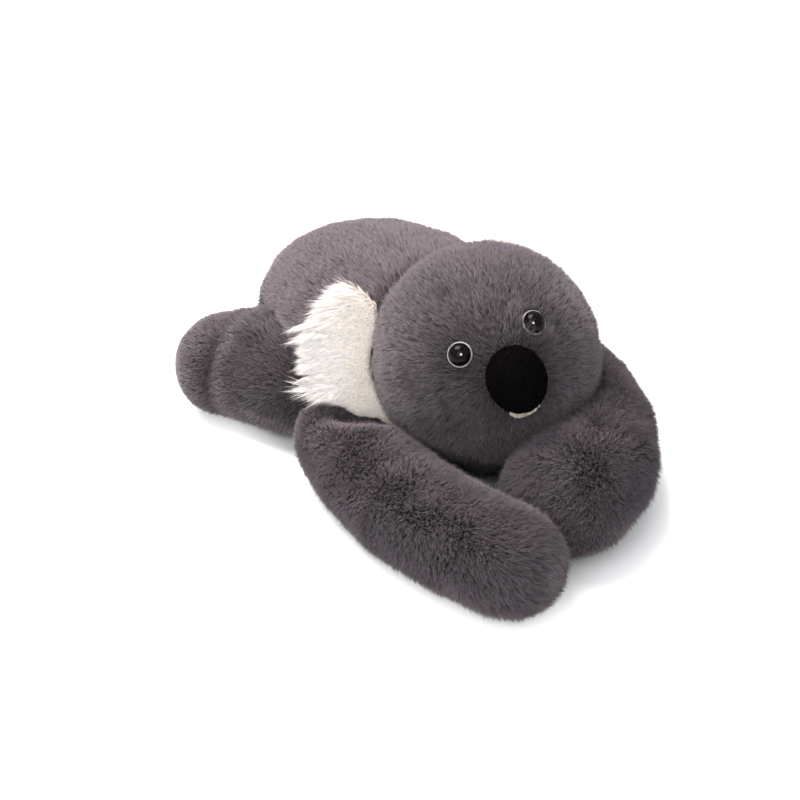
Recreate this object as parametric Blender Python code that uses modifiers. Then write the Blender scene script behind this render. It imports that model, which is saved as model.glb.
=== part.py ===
"""A stuffed koala that lies on its belly, as separate sewn and fastened pieces.

Metres, +Z up. The toy faces -Y and its left side is +X. The origin is on the floor under
the middle of the toy. Every stuffed piece is a fabric cover round a filling, and both are
cut back from the rounder piece that they press against.
"""

from math import acos, atan2, cos, pi, radians, sin, sqrt

import bmesh
import bpy
from mathutils import Matrix, Vector

# Whole toy
TOY_LENGTH = 0.466
FABRIC = 0.0030
CLEARANCE = 0.0003
FLOOR_FLAT = 0.0005
ARM_ROOM = 0.0008
LEG_ROOM = 0.00065

# Trunk
TRUNK_LENGTH = 0.262
TRUNK_WIDTH = 0.216
TRUNK_HEIGHT = 0.168
TRUNK_TAPER_SHARE = 0.08
TRUNK_AROUND = 24
TRUNK_ALONG = 14

# Head
HEAD_RADIUS = 0.092
HEAD_SIDE = 0.0
HEAD_FORWARD = 0.0405
HEAD_HEIGHT = 0.112
HEAD_TURN = radians(26.0)
HEAD_LIFT = radians(19.8)
HEAD_ROLL = radians(18.0)
MUZZLE_RISE = 0.004
MUZZLE_SPREAD = radians(52.0)
HEAD_AROUND = 28
HEAD_ALONG = 14
NECK_HOLE_RADIUS = 0.030

# Arms, each a round-ended tube that bends once: shoulder, elbow, paw
ARM_RADII = {"right": (0.044, 0.042, 0.040), "left": (0.044, 0.048, 0.051)}
SHOULDERS = {"right": (-0.103, 0.0125), "left": (0.110, 0.0085)}
ELBOWS = {"right": (-0.1400, -0.0855), "left": (0.087, -0.137)}
PAW_SIDES = {"right": -0.100, "left": -0.018}
LEFT_PAW_BACK = 0.0175
ARMHOLE_RADIUS = 0.022

# Legs, each a thigh and a foot with a crease between them
LEG_RADII = (0.051, 0.055, 0.047)
HIP = (0.088, 0.1155)
KNEE = (0.099, 0.1525)
FOOT = (0.121, 0.1725)
ANKLE = (0.117, 0.158, 0.048)
ANKLE_TURN = radians(18.5)
ANKLE_CREASE = 0.0035
ANKLE_SPREAD = 0.014
LEGHOLE_RADIUS = 0.024
LEG_SWING = radians(16.0)

# Facets of the limbs, as sides round them, rings on each end and rings between, and of their balls
ARM_FACETS = (16, 3, 6)
LEG_FACETS = (20, 6, 8)
BALL_AROUND = 24
HEAD_BALL_AROUND = 32
HOLE_SIDES = 14
INNER_FACETS_SHARE = 0.7

# Ears
EAR_REACH = 0.057
EAR_HEIGHT = 0.110
EAR_TOP_FULLNESS = 4
EAR_LOW_FULLNESS = 6
EAR_TOP_LEAN = 0.042
EAR_LOW_LEAN = 0.012
EAR_LEAN_POWER = 5
EAR_FRONT_THICKNESS = 0.0055
EAR_BACK_THICKNESS = 0.0040
EAR_CUP = 0.004
EAR_TURN = radians(101.0)
EAR_LIFT = radians(24.0)
EAR_SWEEPS = {"right": radians(-6.0), "left": radians(82.0)}
EAR_OVER_ARM = 0.0028
EAR_OVER_TRUNK = 0.0022
EAR_AROUND = 18
EAR_ALONG = 10

# Eyes
EYE_TURN = radians(20.3)
EYE_LIFT = radians(19.2)
EYE_RADIUS = 0.0088
EYE_DOME = 0.0072
EYE_FLANGE = 0.0010
EYE_SHANK_RADIUS = 0.0024
EYE_SHANK_LENGTH = 0.0130
EYE_RIM_RADIUS = 0.0106
EYE_RIM_THICKNESS = 0.0012
EYE_RIM_LIP = 0.0010
WASHER_RADIUS = 0.0075
WASHER_THICKNESS = 0.0018
WASHER_CROWN = 0.0008
TURNED_STEPS = 20
DOME_STEPS = 5
MERGE_DISTANCE = 0.00005

# Nose and mouth
NOSE_WIDTH = 0.048
NOSE_HEIGHT = 0.055
NOSE_DEPTH = 0.040
NOSE_FORWARD = 0.006
NOSE_TAPER_SHARE = 0.03
NOSE_FABRIC = 0.0014
NOSE_AROUND = 20
NOSE_ALONG = 12
MOUTH_AROUND = 12
MOUTH_ALONG = 8
MOUTH_WIDTH = 0.026
MOUTH_HEIGHT = 0.0145
MOUTH_DEPTH = 0.009
MOUTH_DROP = 0.026

# Colours, as linear red, green and blue
GREY_PILE = (0.120, 0.098, 0.106)
WHITE_PILE = (0.86, 0.83, 0.78)
FIBRE_WHITE = (0.80, 0.80, 0.78)
BLACK_VELVET = (0.006, 0.006, 0.007)
BLACK_GLOSS = (0.008, 0.007, 0.006)
PALE_RIM = (0.62, 0.60, 0.58)
OFF_WHITE = (0.74, 0.66, 0.55)
WASHER_WHITE = (0.75, 0.75, 0.73)

SIDES = {"right": -1.0, "left": 1.0}


def clear_scene():
    """Remove every object of the open scene."""
    for old in list(bpy.data.objects):
        bpy.data.objects.remove(old, do_unlink=True)


def add_collection(name):
    """A new collection in the scene."""
    collection = bpy.data.collections.new(name)
    bpy.context.scene.collection.children.link(collection)
    return collection


clear_scene()
TOY = add_collection("plush_koala")
CUTTERS = add_collection("cutters")


def add_material(name, colour, roughness, metallic=0.0):
    """A plain Principled material."""
    material = bpy.data.materials.new(name)
    material.use_nodes = True
    shader = material.node_tree.nodes["Principled BSDF"]
    shader.inputs["Base Color"].default_value = (*colour, 1.0)
    shader.inputs["Roughness"].default_value = roughness
    shader.inputs["Metallic"].default_value = metallic
    return material


def add_object(name, bm, parent=None, cutter=False):
    """An object that holds a bmesh with its faces turned outward."""
    bmesh.ops.recalc_face_normals(bm, faces=bm.faces)
    if bm.calc_volume(signed=True) < 0.0:
        bmesh.ops.reverse_faces(bm, faces=bm.faces)
    mesh = bpy.data.meshes.new(name)
    bm.to_mesh(mesh)
    bm.free()
    made = bpy.data.objects.new(name, mesh)
    made.parent = parent
    if cutter:
        CUTTERS.objects.link(made)
        made.hide_render = True
        made.display_type = "WIRE"
    else:
        TOY.objects.link(made)
        mesh.shade_smooth()
    return made


def add_pivot(name, place, turn=None, parent=None):
    """An empty on a joint, which carries the pieces that move with it."""
    pivot = bpy.data.objects.new(name, None)
    TOY.objects.link(pivot)
    pivot.parent = parent
    pivot.matrix_basis = Matrix.Translation(place) @ (turn or Matrix.Identity(4))
    return pivot


def cut(target, cutters):
    """Take each cutter out of the target."""
    for cutter in cutters:
        boolean = target.modifiers.new(cutter.name, "BOOLEAN")
        boolean.operation = "DIFFERENCE"
        boolean.object = cutter


def unit_sphere(around, along):
    """A sphere of radius 1 with its poles on Z."""
    bm = bmesh.new()
    bmesh.ops.create_uvsphere(bm, u_segments=around, v_segments=along, radius=1.0)
    return bm


def facets(count, inset):
    """How many facets a form has: fewer inside, where nothing shows."""
    return count if inset <= 0.0 else 2 * round(count * INNER_FACETS_SHARE / 2)


def socket_radius(radius, around):
    """The radius of a faceted ball that clears a ball of this radius at any turn."""
    return (radius + CLEARANCE) / cos(pi / around) ** 2


def ball_cutter(name, centre, radius, around, inset):
    """The socket of a turning ball, cut into its neighbours and their insides."""
    size = socket_radius(radius, around) + inset
    count = facets(around, inset)
    bm = unit_sphere(count, count // 2)
    bmesh.ops.scale(bm, vec=Vector((size, size, size)), verts=bm.verts)
    bmesh.ops.translate(bm, vec=Vector(centre), verts=bm.verts)
    return add_object(name, bm, cutter=True)


def floor_cutter(name, height):
    """A slab whose top is the floor, raised by a height."""
    bm = bmesh.new()
    bmesh.ops.create_cube(bm, size=TOY_LENGTH + TRUNK_LENGTH)
    drop = height - (TOY_LENGTH + TRUNK_LENGTH) / 2
    bmesh.ops.translate(bm, vec=Vector((0.0, 0.0, drop)), verts=bm.verts)
    return add_object(name, bm, cutter=True)


def hole_cutter(name, start, toward, distance, radius):
    """A short round cutter across a seam, at a distance from start along a line."""
    direction = (Vector(toward) - Vector(start)).normalized()
    bm = bmesh.new()
    bmesh.ops.create_cone(
        bm, cap_ends=True, segments=HOLE_SIDES, radius1=radius, radius2=radius, depth=2.0 * radius
    )
    turn = direction.to_track_quat("Z", "Y").to_matrix().to_4x4()
    place = Matrix.Translation(Vector(start) + direction * distance)
    bmesh.ops.transform(bm, matrix=place @ turn, verts=bm.verts)
    return add_object(name, bm, cutter=True)


# Forms: each takes an inset and gives the same shape, smaller all round by that much


def trunk_form(inset):
    """The egg of the trunk, its poles at the neck and at the rump."""
    bm = unit_sphere(facets(TRUNK_AROUND, inset), facets(TRUNK_ALONG, inset))
    half_length = TRUNK_LENGTH / 2 - inset
    half_width = TRUNK_WIDTH / 2 - inset
    half_height = TRUNK_HEIGHT / 2 - inset
    for vert in bm.verts:
        across, up, back = vert.co
        taper = 1.0 - TRUNK_TAPER_SHARE * back
        vert.co = Vector((across * half_width * taper, back * half_length, up * half_height * taper))
    bmesh.ops.translate(bm, vec=TRUNK_CENTRE, verts=bm.verts)
    return bm


def head_radius(direction):
    """The head's radius in a direction of its own frame, larger at the muzzle."""
    off_face = acos(max(-1.0, min(1.0, -direction.y)))
    if off_face >= MUZZLE_SPREAD:
        return HEAD_RADIUS
    return HEAD_RADIUS + MUZZLE_RISE * cos(off_face / MUZZLE_SPREAD * pi / 2) ** 2


def head_form(inset):
    """The head round its own centre, with its face toward -Y."""
    bm = unit_sphere(facets(HEAD_AROUND, inset), facets(HEAD_ALONG, inset))
    for vert in bm.verts:
        direction = vert.co.normalized()
        vert.co = direction * (head_radius(direction) - inset)
    return bm


def bend(points, share):
    """A place on the smooth curve that three points draw."""
    start, middle, end = points
    rest = 1.0 - share
    return start * rest * rest + middle * 2.0 * rest * share + end * share * share


def bend_direction(points, share):
    """The direction of that curve at the same place."""
    start, middle, end = points
    return ((middle - start) * (1.0 - share) + (end - middle) * share).normalized()


def limb_form(points, radii, inset, counts):
    """A stuffed limb on the floor along a bent line, closed by two round ends."""
    around, caps, middle = counts
    middle = facets(middle, inset)
    rings = 2 * caps + middle
    bm = unit_sphere(facets(around, inset), rings)
    for vert in bm.verts:
        ring = acos(max(-1.0, min(1.0, vert.co.z))) / pi * rings
        turn = atan2(vert.co.y, vert.co.x)
        share = max(0.0, min(1.0, (ring - caps) / middle))
        before = max(0.0, 1.0 - ring / caps)
        after = max(0.0, 1.0 - (rings - ring) / caps)
        full = bend(radii, share)
        radius = full - inset
        ahead = radius * (sin(after * pi / 2) - sin(before * pi / 2))
        girth = radius * cos(max(before, after) * pi / 2)
        centre = bend(points, share)
        centre.z = full - FLOOR_FLAT
        forward = bend_direction(points, share)
        sideways = forward.cross(Vector((0.0, 0.0, 1.0)))
        vert.co = centre + forward * ahead + sideways * girth * cos(turn)
        vert.co.z += girth * sin(turn)
    bmesh.ops.triangulate(bm, faces=bm.faces, quad_method="FIXED")
    return bm


def arm_points(side):
    """The arm's shoulder, elbow and paw, as seen from above."""
    end = TOY_LENGTH / 2 - ARM_RADII[side][2]
    if side == "left":
        end -= LEFT_PAW_BACK
    paw = (PAW_SIDES[side], -end)
    return [Vector((*place, 0.0)) for place in (SHOULDERS[side], ELBOWS[side], paw)]


def arm_form(side, inset):
    """The arm's shape."""
    return limb_form(arm_points(side), ARM_RADII[side], inset, ARM_FACETS)


def leg_points(side):
    """The leg's hip, knee and foot, as seen from above."""
    return [Vector((SIDES[side] * x, y, 0.0)) for x, y in (HIP, KNEE, FOOT)]


def smooth_leg_form(side, inset):
    """The leg's shape before the crease."""
    return limb_form(leg_points(side), LEG_RADII, inset, LEG_FACETS)


def leg_form(side, inset):
    """The leg's shape, drawn in round the ankle."""
    bm = smooth_leg_form(side, inset)
    ankle = Vector((SIDES[side] * ANKLE[0], *ANKLE[1:]))
    along = Vector((SIDES[side] * sin(ANKLE_TURN), cos(ANKLE_TURN), 0.0))
    for vert in bm.verts:
        off = vert.co - ankle
        ahead = off.dot(along)
        near = min(1.0, abs(ahead) / ANKLE_SPREAD)
        out = (off - along * ahead).normalized()
        vert.co -= out * ANKLE_CREASE * cos(near * pi / 2) ** 2
    return bm


def ball_centre(place, radius):
    """The centre of a limb's first ball, which rests on the floor."""
    return Vector((*place[:2], radius - FLOOR_FLAT))


TRUNK_CENTRE = Vector((0.0, (TOY_LENGTH - TRUNK_LENGTH) / 2, TRUNK_HEIGHT / 2 - FLOOR_FLAT))
HEAD_CENTRE = Vector((HEAD_SIDE, -HEAD_FORWARD, HEAD_HEIGHT))
HEAD_POSE = (
    Matrix.Rotation(-HEAD_TURN, 4, "Z")
    @ Matrix.Rotation(-HEAD_LIFT, 4, "X")
    @ Matrix.Rotation(-HEAD_ROLL, 4, "Y")
)
SHOULDER_BALLS = {
    side: (ball_centre(SHOULDERS[side], ARM_RADII[side][0]), ARM_RADII[side][0]) for side in SIDES
}
HIP_BALLS = {
    side: (ball_centre((SIDES[side] * HIP[0], HIP[1]), LEG_RADII[0]), LEG_RADII[0]) for side in SIDES
}


def stuff(title, side, form, press, holes, pivot, origin=Vector()):
    """A cover and its filling. press(label, inset) gives what both are cut back from."""

    def shape(part, inset, cutter=False):
        label = f"{title}_{part}_{side}" if side else f"{title}_{part}"
        bm = form(inset)
        bmesh.ops.translate(bm, vec=-origin, verts=bm.verts)
        made = add_object(label, bm, pivot, cutter)
        cut(made, press(label, inset))
        return made

    cover = shape("cover", 0.0)
    hollow = shape("hollow", FABRIC, cutter=True)
    cut(cover, [hollow, *holes])
    return cover, shape("filling", FABRIC + CLEARANCE)


def press_of_head(label, inset, room=0.0):
    """The ball that the head makes in whatever it rests against."""
    return ball_cutter(f"{label}_head", HEAD_CENTRE, HEAD_RADIUS + room, HEAD_BALL_AROUND, inset)


def make_trunk(holes):
    """The trunk, hollowed where the head, the arms and the legs sit in it."""

    def press(label, inset):
        cutters = [press_of_head(label, inset), floor_cutter(f"{label}_floor", inset)]
        leg_swings = (0.0,) if inset > 0.0 else (0.0, LEG_SWING)
        for side in SIDES:
            for title, (centre, radius), form, room, swings in (
                ("arm", SHOULDER_BALLS[side], arm_form, 0.0, (0.0,)),
                ("leg", HIP_BALLS[side], smooth_leg_form, LEG_ROOM, leg_swings),
            ):
                name = f"{label}_{title}_{side}"
                cutters.append(ball_cutter(f"{name}_ball", centre, radius + room, BALL_AROUND, inset))
                for swing in swings:
                    limb = form(side, -inset - room - CLEARANCE)
                    turn = Matrix.Rotation(-SIDES[side] * swing, 3, "Z")
                    bmesh.ops.rotate(limb, cent=centre, matrix=turn, verts=limb.verts)
                    cutters.append(add_object(name, limb, cutter=True))
        return cutters

    return stuff("trunk", "", trunk_form, press, holes, None)


def make_head(pivot, holes):
    """The head, whose round back turns in the hollow of the trunk."""
    return stuff("head", "", head_form, lambda label, inset: [], holes, pivot)


def make_arm(side, pivot, holes):
    """An arm, dented by the head; the left one also by the right forearm."""

    def press(label, inset):
        cutters = [floor_cutter(f"{label}_floor", inset), press_of_head(label, inset, ARM_ROOM)]
        if side == "left":
            other = arm_form("right", -inset - CLEARANCE)
            cutters.append(add_object(f"{label}_arm", other, cutter=True))
        return cutters

    return stuff("arm", side, lambda inset: arm_form(side, inset), press, holes, pivot, pivot.location)


def make_leg(side, pivot, holes):
    """A leg, its thigh in the trunk's hollow."""

    def press(label, inset):
        return [floor_cutter(f"{label}_floor", inset)]

    return stuff("leg", side, lambda inset: leg_form(side, inset), press, holes, pivot, pivot.location)


def face_direction(turn, lift):
    """A direction of the head's frame, turned to its left and lifted from straight ahead."""
    return Vector((sin(turn) * cos(lift), -cos(turn) * cos(lift), sin(lift)))


def seat(direction):
    """The frame of a piece on the head's surface, its Z away from the head."""
    turn = direction.to_track_quat("Z", "Y").to_matrix().to_4x4()
    return Matrix.Translation(direction * head_radius(direction)) @ turn


def drill(name, frame, radius, top, bottom, pivot):
    """A round cutter along a frame's Z, from top to bottom."""
    bm = bmesh.new()
    bmesh.ops.create_cone(
        bm, cap_ends=True, segments=HOLE_SIDES, radius1=radius, radius2=radius, depth=top - bottom
    )
    place = frame @ Matrix.Translation((0.0, 0.0, (top + bottom) / 2))
    bmesh.ops.transform(bm, matrix=place, verts=bm.verts)
    return add_object(name, bm, pivot, cutter=True)


def turned(name, profile, frame, pivot, closed=False):
    """A piece turned round its frame's Z from a profile that runs down its outer side."""
    mesh = bpy.data.meshes.new(name)
    edges = [(i, i + 1) for i in range(len(profile) - 1)]
    if closed:
        edges.append((len(profile) - 1, 0))
    mesh.from_pydata([(x, 0.0, z) for x, z in profile], edges, [])
    piece = bpy.data.objects.new(name, mesh)
    TOY.objects.link(piece)
    piece.parent = pivot
    piece.matrix_basis = frame
    screw = piece.modifiers.new("turn", "SCREW")
    screw.steps = TURNED_STEPS
    screw.render_steps = TURNED_STEPS
    screw.use_merge_vertices = True
    screw.merge_threshold = MERGE_DISTANCE
    return piece


RIM_TOP = CLEARANCE + EYE_RIM_THICKNESS
EYE_BASE = RIM_TOP + CLEARANCE + EYE_FLANGE
SHANK_END = EYE_BASE - EYE_SHANK_LENGTH
WASHER_TOP = -FABRIC - CLEARANCE
WASHER_BOTTOM = WASHER_TOP - WASHER_THICKNESS


def make_eye(side, pivot, head_cutter):
    """A domed eye on a shank, the pale rim under it and the washer that locks it."""
    frame = seat(face_direction(SIDES[side] * EYE_TURN, EYE_LIFT))
    arc = [i * pi / 2 / DOME_STEPS for i in range(DOME_STEPS + 1)]
    dome = [(EYE_RADIUS * sin(a), EYE_BASE + EYE_DOME * cos(a)) for a in arc]
    dome += [
        (EYE_RADIUS, EYE_BASE - EYE_FLANGE),
        (EYE_SHANK_RADIUS, EYE_BASE - EYE_FLANGE),
        (EYE_SHANK_RADIUS, SHANK_END),
        (0.0, SHANK_END),
    ]
    eye = turned(f"eye_{side}", dome, frame, pivot)
    bore = EYE_SHANK_RADIUS + CLEARANCE
    lip = EYE_RADIUS + CLEARANCE
    rim_profile = [
        (lip, RIM_TOP + EYE_RIM_LIP),
        ((lip + EYE_RIM_RADIUS) / 2, RIM_TOP + EYE_RIM_LIP),
        (EYE_RIM_RADIUS, RIM_TOP),
        (EYE_RIM_RADIUS, -CLEARANCE),
        (bore, -CLEARANCE),
        (bore, RIM_TOP),
        (lip, RIM_TOP),
    ]
    rim = turned(f"eye_rim_{side}", rim_profile, frame, pivot, closed=True)
    cut(rim, [head_cutter])
    washer_profile = [
        (bore + WASHER_CROWN, WASHER_TOP),
        (WASHER_RADIUS - WASHER_CROWN, WASHER_TOP),
        (WASHER_RADIUS, WASHER_TOP - WASHER_CROWN),
        (WASHER_RADIUS, WASHER_BOTTOM),
        (bore, WASHER_BOTTOM),
        (bore, WASHER_TOP - WASHER_CROWN),
    ]
    washer = turned(f"eye_washer_{side}", washer_profile, frame, pivot, closed=True)
    bore_cutter = drill(f"eye_bore_{side}", frame, bore, FABRIC, SHANK_END - CLEARANCE, pivot)
    pocket = drill(
        f"washer_pocket_{side}",
        frame,
        WASHER_RADIUS + CLEARANCE,
        WASHER_TOP + CLEARANCE,
        WASHER_BOTTOM - CLEARANCE,
        pivot,
    )
    return (eye, rim, washer), bore_cutter, pocket


def nose_form(inset):
    """The egg-shaped nose in the head's frame, narrower below."""
    bm = unit_sphere(facets(NOSE_AROUND, inset), facets(NOSE_ALONG, inset))
    out = head_radius(Vector((0.0, -1.0, 0.0))) + NOSE_FORWARD
    for vert in bm.verts:
        across, up, ahead = vert.co
        girth = (NOSE_WIDTH / 2 - inset) * (1.0 + NOSE_TAPER_SHARE * up)
        vert.co = Vector(
            (across * girth, -out - ahead * (NOSE_DEPTH / 2 - inset), up * (NOSE_HEIGHT / 2 - inset))
        )
    return bm


def make_nose(pivot, head_cutter):
    """The nose's velvet cover, open at its back, and its filling."""
    cover = add_object("nose_cover", nose_form(0.0), pivot)
    hollow = add_object("nose_hollow", nose_form(NOSE_FABRIC), pivot, cutter=True)
    cut(cover, [hollow, head_cutter])
    filling = add_object("nose_filling", nose_form(NOSE_FABRIC + CLEARANCE), pivot)
    cut(filling, [head_cutter])
    return cover, filling


def make_mouth(pivot, head_cutter):
    """The small patch on the chin, tucked under the nose."""
    low = MOUTH_DROP / head_radius(Vector((0.0, -1.0, 0.0)))
    bm = unit_sphere(MOUTH_AROUND, MOUTH_ALONG)
    bmesh.ops.scale(bm, vec=Vector((MOUTH_WIDTH, MOUTH_HEIGHT, MOUTH_DEPTH)) / 2, verts=bm.verts)
    frame = seat(face_direction(0.0, -low))
    bmesh.ops.transform(bm, matrix=frame, verts=bm.verts)
    patch = add_object("mouth_patch", bm, pivot)
    nose = add_object("nose_seat", nose_form(-CLEARANCE), pivot, cutter=True)
    cut(patch, [head_cutter, nose])
    return patch


def ear_root():
    """The right ear's frame in the head's: X away from the head, Y along its root, Z forward."""
    out = face_direction(-EAR_TURN, EAR_LIFT)
    ahead = Vector((0.0, -1.0, 0.0))
    front = (ahead - out * ahead.dot(out)).normalized()
    turn = Matrix((out, front.cross(out), front)).transposed().to_4x4()
    return Matrix.Translation(out * (HEAD_RADIUS - 2 * CLEARANCE)) @ turn


def ear_form(side, thickness, facing):
    """One layer of an ear, flat where the layers meet, its root along the head's curve."""
    bm = unit_sphere(EAR_AROUND, EAR_ALONG)
    sweep = Matrix.Rotation(EAR_SWEEPS[side], 3, "Y")
    for vert in bm.verts:
        reach, height, swell = vert.co
        half = max(MERGE_DISTANCE, sqrt(1.0 - height * height))
        share = (max(-1.0, min(1.0, reach / half)) + 1.0) / 2
        y = height * EAR_HEIGHT / 2
        root = sqrt(HEAD_RADIUS**2 - y * y) - HEAD_RADIUS
        lean = (EAR_LOW_LEAN if height > 0.0 else EAR_TOP_LEAN) * abs(height) ** EAR_LEAN_POWER
        out = share * (1.0 - abs(height) ** (EAR_LOW_FULLNESS if height > 0.0 else EAR_TOP_FULLNESS))
        z = facing * (CLEARANCE / 2 + max(0.0, swell) * thickness) + EAR_CUP * out * out
        vert.co = Vector((root, y, 0.0)) + sweep @ Vector((lean + out * EAR_REACH, 0.0, z))
    bmesh.ops.triangulate(bm, faces=bm.faces, quad_method="FIXED")
    bmesh.ops.transform(bm, matrix=ear_root(), verts=bm.verts)
    if side == "left":
        bmesh.ops.scale(bm, vec=Vector((-1.0, 1.0, 1.0)), verts=bm.verts)
    return bm


def ear_neighbours(side, head_cutter):
    """What an ear lies against: the head, and for the right one the arm and the trunk."""
    if side == "left":
        return [head_cutter]
    arm = add_object("ear_over_arm", arm_form(side, -EAR_OVER_ARM), cutter=True)
    trunk = add_object("ear_over_trunk", trunk_form(-EAR_OVER_TRUNK), cutter=True)
    return [head_cutter, arm, trunk]


def make_ear(side, head_pivot, head_cutter):
    """An ear of two layers, which flaps about its root."""
    root = ear_root().translation
    root.x *= -SIDES[side]
    pivot = add_pivot(f"ear_pivot_{side}", root, parent=head_pivot)
    neighbours = ear_neighbours(side, head_cutter)
    layers = []
    for name, thickness, facing in (
        ("front", EAR_FRONT_THICKNESS, 1.0),
        ("back", EAR_BACK_THICKNESS, -1.0),
    ):
        bm = ear_form(side, thickness, facing)
        bmesh.ops.translate(bm, vec=-root, verts=bm.verts)
        layer = add_object(f"ear_{name}_{side}", bm, pivot)
        cut(layer, neighbours)
        layers.append(layer)
    return layers


def paint(pieces, material):
    """Give every piece its material."""
    for piece in pieces:
        piece.data.materials.append(material)


def build():
    """Make every piece and set it on its joint."""
    head_pivot = add_pivot("neck_pivot", HEAD_CENTRE, HEAD_POSE)
    pivots = {}
    seams = {}
    for side in SIDES:
        for title, (ball, radius), hole in (
            ("arm", SHOULDER_BALLS[side], ARMHOLE_RADIUS),
            ("leg", HIP_BALLS[side], LEGHOLE_RADIUS),
        ):
            pivot = add_pivot(f"{title}_pivot_{side}", ball)
            pivots[title, side] = pivot
            seams[title, side] = hole_cutter(
                f"{title}_seam_{side}", ball, TRUNK_CENTRE, radius, hole
            )
    neck = hole_cutter("neck_seam", HEAD_CENTRE, TRUNK_CENTRE, HEAD_RADIUS, NECK_HOLE_RADIUS)

    covers, fillings = [], []
    trunk = make_trunk([neck, *seams.values()])
    covers.append(trunk[0])
    fillings.append(trunk[1])
    for (title, side), pivot in pivots.items():
        make = make_arm if title == "arm" else make_leg
        cover, filling = make(side, pivot, [seams[title, side]])
        covers.append(cover)
        fillings.append(filling)

    head_cutter = add_object("head_seat", head_form(-CLEARANCE), head_pivot, cutter=True)
    eyes, bores, pockets = {}, [], []
    for side in SIDES:
        eyes[side], bore, pocket = make_eye(side, head_pivot, head_cutter)
        bores.append(bore)
        pockets.append(pocket)
    cover, filling = make_head(head_pivot, [neck, *bores, *pockets])
    cut(filling, [*bores, *pockets])
    covers.append(cover)
    fillings.append(filling)

    nose, nose_filling = make_nose(head_pivot, head_cutter)
    mouth = make_mouth(head_pivot, head_cutter)
    fronts, backs = [], []
    for side in SIDES:
        front, back = make_ear(side, head_pivot, head_cutter)
        fronts.append(front)
        backs.append(back)

    paint([*covers, *backs], add_material("grey_pile", GREY_PILE, 0.95))
    paint(fronts, add_material("white_pile", WHITE_PILE, 0.95))
    paint([*fillings, nose_filling], add_material("fibre", FIBRE_WHITE, 0.95))
    paint([nose], add_material("black_velvet", BLACK_VELVET, 0.9))
    paint([mouth], add_material("off_white_felt", OFF_WHITE, 0.9))
    paint([eye[0] for eye in eyes.values()], add_material("black_gloss", BLACK_GLOSS, 0.06))
    paint([eye[1] for eye in eyes.values()], add_material("pale_rim", PALE_RIM, 0.5))
    paint([eye[2] for eye in eyes.values()], add_material("washer_plastic", WASHER_WHITE, 0.4))


build()
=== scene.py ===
# %% [markdown]
# A stuffed koala that lies on its belly, dressed in Blender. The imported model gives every
# sewn part as a plain solid, placed and ready to move. This lesson puts the cloth, the pile,
# the nose and the eyes on those solids, in metres, with the floor at Z = 0.

from math import cos, pi, radians, sin

import bmesh
import bpy
import numpy as np
from mathutils import Matrix, Vector, noise
from mathutils.bvhtree import BVHTree
from mathutils.kdtree import KDTree


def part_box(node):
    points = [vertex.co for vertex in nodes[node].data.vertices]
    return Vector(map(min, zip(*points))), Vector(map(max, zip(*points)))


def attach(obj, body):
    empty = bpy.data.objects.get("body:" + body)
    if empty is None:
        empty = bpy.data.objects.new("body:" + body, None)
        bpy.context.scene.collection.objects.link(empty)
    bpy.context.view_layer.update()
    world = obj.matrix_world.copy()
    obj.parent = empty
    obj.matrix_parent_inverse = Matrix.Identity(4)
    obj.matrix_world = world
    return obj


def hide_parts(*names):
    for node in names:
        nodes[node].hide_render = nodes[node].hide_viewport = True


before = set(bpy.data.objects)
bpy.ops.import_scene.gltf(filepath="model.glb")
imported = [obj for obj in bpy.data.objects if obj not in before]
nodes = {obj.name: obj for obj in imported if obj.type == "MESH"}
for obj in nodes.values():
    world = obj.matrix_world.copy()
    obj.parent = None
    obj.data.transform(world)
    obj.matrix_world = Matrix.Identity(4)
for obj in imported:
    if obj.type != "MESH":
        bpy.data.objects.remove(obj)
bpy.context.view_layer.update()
scene = bpy.context.scene

# %% [markdown]
# The photograph looks at the toy from its front right and from above. A real camera has a
# place, a direction and a lens. Here the place is given by two angles and a distance from a
# point inside the toy, because these can be read off the picture one by one.

# %% The camera
CAMERA_TURN = radians(-37.0)
CAMERA_RISE = radians(32.0)
CAMERA_DISTANCE = 1.300
CAMERA_AIM = Vector((-0.060, -0.0025, 0.073))
LENS = 70.0

back = Vector(
    (
        sin(CAMERA_TURN) * cos(CAMERA_RISE),
        -cos(CAMERA_TURN) * cos(CAMERA_RISE),
        sin(CAMERA_RISE),
    )
)
camera = bpy.data.objects.new("camera", bpy.data.cameras.new("camera"))
camera.data.lens = LENS
camera.location = CAMERA_AIM + back * CAMERA_DISTANCE
camera.rotation_mode = "QUATERNION"
camera.rotation_quaternion = (-back).to_track_quat("-Z", "Y")
scene.collection.objects.link(camera)
scene.camera = camera
print("camera at", [round(x, 3) for x in camera.location])

# %% [markdown]
# The studio is one large soft lamp above and a little behind the toy, a weaker one in front,
# and a small one near the camera. That one is linked to the eyes alone further down, so it
# leaves a glint in them and no light on the pile.

# %% The lamps
scene.view_settings.view_transform = "Standard"


def add_lamp(name, place, aim, side, watts, colour=(1.0, 1.0, 1.0)):
    """A square soft lamp that faces a point."""
    lamp = bpy.data.lights.new(name, "AREA")
    lamp.size = side
    lamp.energy = watts
    lamp.color = colour
    made = bpy.data.objects.new(name, lamp)
    made.location = place
    made.rotation_mode = "QUATERNION"
    made.rotation_quaternion = (Vector(aim) - Vector(place)).to_track_quat("-Z", "Y")
    scene.collection.objects.link(made)
    return made


BACK = (0.0, 0.0, 0.08)
CHEST = (0.0, -0.05, 0.05)
FACE = (0.0, -0.1, 0.12)
WARM_WHITE = (1.0, 0.89, 0.87)
add_lamp("lamp_above", (-0.35, 0.50, 1.60), BACK, side=1.0, watts=57.0, colour=WARM_WHITE)
add_lamp("lamp_front", (-1.0, -0.85, 1.05), CHEST, side=1.2, watts=17.0)
lamp_glint = add_lamp("lamp_glint", (-0.66, -0.93, 0.84), FACE, side=0.36, watts=60.0)
print("lamps", len(bpy.data.lights))

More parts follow.
